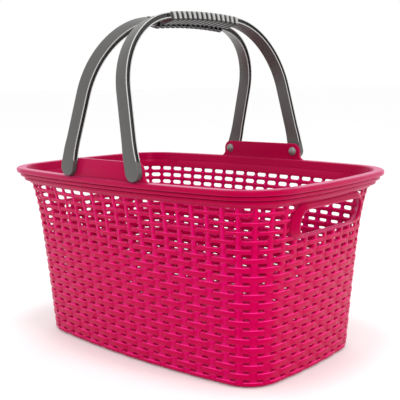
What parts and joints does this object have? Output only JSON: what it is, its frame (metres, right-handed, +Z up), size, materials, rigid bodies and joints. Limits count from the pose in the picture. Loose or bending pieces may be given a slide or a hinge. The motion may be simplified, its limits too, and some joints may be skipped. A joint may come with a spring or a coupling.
{
  "type": "shopping basket",
  "caption": "Hand shopping basket in glossy cherry-pink plastic with woven-look walls, a stepped rim, end hand holes and two grey swing handles.",
  "frame": {"origin": "centre of the base, on the surface the basket stands on", "axes": "+X along the basket towards the right hand hole, +Y across it towards the rear tab, +Z up"},
  "size_m": [0.46, 0.3172, 0.4183],
  "materials": {
    "pink_plastic": "gloss",
    "grey_plastic": "satin"
  },
  "bodies": {
    "basket": {"tub_floor": "pink_plastic", "front_wall": "pink_plastic", "rear_wall": "pink_plastic", "left_end_wall": "pink_plastic", "right_end_wall": "pink_plastic", "rim": "pink_plastic", "front_tab": "pink_plastic", "rear_tab": "pink_plastic", "left_hand_hole_frame": "pink_plastic", "right_hand_hole_frame": "pink_plastic"},
    "left_handle_body": {"left_handle": "grey_plastic", "left_front_stud": "grey_plastic", "left_rear_stud": "grey_plastic"},
    "right_handle_body": {"right_handle": "grey_plastic", "right_front_stud": "grey_plastic", "right_rear_stud": "grey_plastic"}
  },
  "joints": [
    {"name": "left_handle_hinge", "type": "hinge", "parent": "basket", "child": "left_handle_body", "pos_m": [-0.0555, 0, 0.2365], "axis": [0, -1, 0], "range_deg": [0, 105]},
    {"name": "right_handle_hinge", "type": "hinge", "parent": "basket", "child": "right_handle_body", "pos_m": [0.0555, 0, 0.2365], "axis": [0, 1, 0], "range_deg": [0, 101]}
  ]
}
